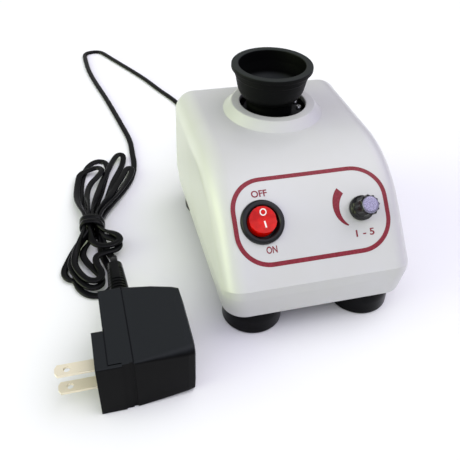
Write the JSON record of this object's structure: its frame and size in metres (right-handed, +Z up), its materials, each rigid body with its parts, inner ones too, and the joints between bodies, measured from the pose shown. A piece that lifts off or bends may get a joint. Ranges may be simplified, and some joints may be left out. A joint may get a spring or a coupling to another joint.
{
  "type": "nail polish shaker",
  "caption": "Bench shaker for nail polish bottles: a wedge-shaped housing on rubber feet with an orbiting rubber cup, rocker switch, speed knob and wall adapter on a cord.",
  "frame": {"origin": "on the table under the middle of the machine, measured without the adapter and its cord", "axes": "+Z up, -Y towards the control panel, +X to the right of someone facing the panel"},
  "size_m": [0.1901, 0.4207, 0.1095],
  "materials": {
    "pearl_plastic": "satin pearl off-white moulding",
    "base_plastic": "matte black plate",
    "bezel_plastic": "satin black nylon",
    "red_plastic": "translucent red, gloss",
    "zinc": "zinc plated",
    "nickel": "nickel plated",
    "knob_plastic": "matte black, fluted",
    "cap_plastic": "grey-lavender gloss",
    "steel": "bright steel",
    "black_steel": "black oxide",
    "spring_steel": "spring steel",
    "armature_steel": "laminated steel with copper windings",
    "black_plastic": "matte black",
    "white_plastic": "natural nylon",
    "brass": "brass",
    "board_laminate": "green laminate",
    "capacitor_sleeve": "blue-black sleeve",
    "aluminium": "turned",
    "bearing_steel": "ground steel",
    "cup_rubber": "soft matte moulding",
    "foot_rubber": "soft matte moulding",
    "cord_vinyl": "soft black vinyl",
    "adapter_plastic": "fine textured black",
    "blade_nickel": "nickel plated brass"
  },
  "bodies": {
    "base": {"housing_shell": "pearl_plastic", "base_plate": "base_plastic", "foot_front_left": "foot_rubber", "foot_front_right": "foot_rubber", "foot_rear_left": "foot_rubber", "foot_rear_right": "foot_rubber", "foot_screws": "steel", "switch_body": "bezel_plastic", "switch_terminals": "brass", "potentiometer_body": "zinc", "potentiometer_nut": "nickel", "guide_posts": "steel", "post_clips": "spring_steel", "return_spring_left": "spring_steel", "return_spring_right": "spring_steel", "touch_bracket": "zinc", "touch_switch_body": "black_plastic", "touch_switch_lugs": "brass", "touch_switch_screws": "steel", "circuit_board": "board_laminate", "board_standoffs": "brass", "board_screws": "steel", "board_capacitor": "capacitor_sleeve", "board_heat_sink": "aluminium", "board_transistor": "black_plastic", "board_connectors": "white_plastic", "power_jack": "black_plastic", "jack_nut": "nickel", "barrel_contact": "nickel", "barrel_plug": "cord_vinyl", "cord_free": "cord_vinyl", "cord_hank": "cord_vinyl", "cord_tie": "cord_vinyl", "adapter_front": "adapter_plastic", "adapter_rear": "adapter_plastic", "adapter_blade_upper": "blade_nickel", "adapter_blade_lower": "blade_nickel", "adapter_relief": "cord_vinyl"},
    "carriage": {"carriage_plate": "steel", "carriage_bushes": "brass", "motor_can": "zinc", "motor_end_cap": "black_plastic", "motor_terminals": "brass", "motor_screws": "steel", "touch_adjuster": "steel"},
    "rotor": {"motor_shaft": "steel", "motor_armature": "armature_steel", "flywheel": "aluminium", "hub_set_screw": "black_steel", "balance_weight": "steel", "balance_screws": "steel"},
    "cup": {"shaker_cup": "cup_rubber", "cup_holder": "aluminium", "cup_bearing": "bearing_steel", "cup_screw": "nickel"},
    "rocker": {"switch_rocker": "red_plastic"},
    "knob": {"speed_knob": "knob_plastic", "knob_cap": "cap_plastic", "potentiometer_shaft": "nickel"},
    "plunger": {"touch_plunger": "red_plastic"}
  },
  "joints": [
    {"name": "power_rocker", "type": "hinge", "parent": "base", "child": "rocker", "pos_m": [-0.028, -0.04517, 0.05861], "axis": [1, 0, 0], "range_deg": [0, 20]},
    {"name": "speed_knob_turn", "type": "hinge", "parent": "base", "child": "knob", "pos_m": [0.026, -0.04693, 0.06048], "axis": [0, -0.7002, 0.7139], "range_deg": [-140, 140]},
    {"name": "head_press", "type": "slide", "parent": "base", "child": "carriage", "axis": [0, 0, 1], "range_m": [-0.0025, 0], "stiffness_N_per_m": 1500, "springref_m": 0.004, "deforming": ["return_spring_left", "return_spring_right"]},
    {"name": "rotor_spin", "type": "hinge", "parent": "carriage", "child": "rotor", "pos_m": [0, 0.03, 0], "axis": [0, 0, 1], "continuous": true},
    {"name": "cup_orbit", "type": "hinge", "parent": "rotor", "child": "cup", "pos_m": [-0.002, 0.03, 0], "axis": [0, 0, 1], "continuous": true},
    {"name": "touch_plunger_travel", "type": "slide", "parent": "base", "child": "plunger", "axis": [0, 0, 1], "range_m": [-0.0025, 0]}
  ],
  "couplings": [
    {"joint": "cup_orbit", "follows": "rotor_spin", "ratio": -1},
    {"joint": "touch_plunger_travel", "follows": "head_press", "ratio": 1}
  ]
}
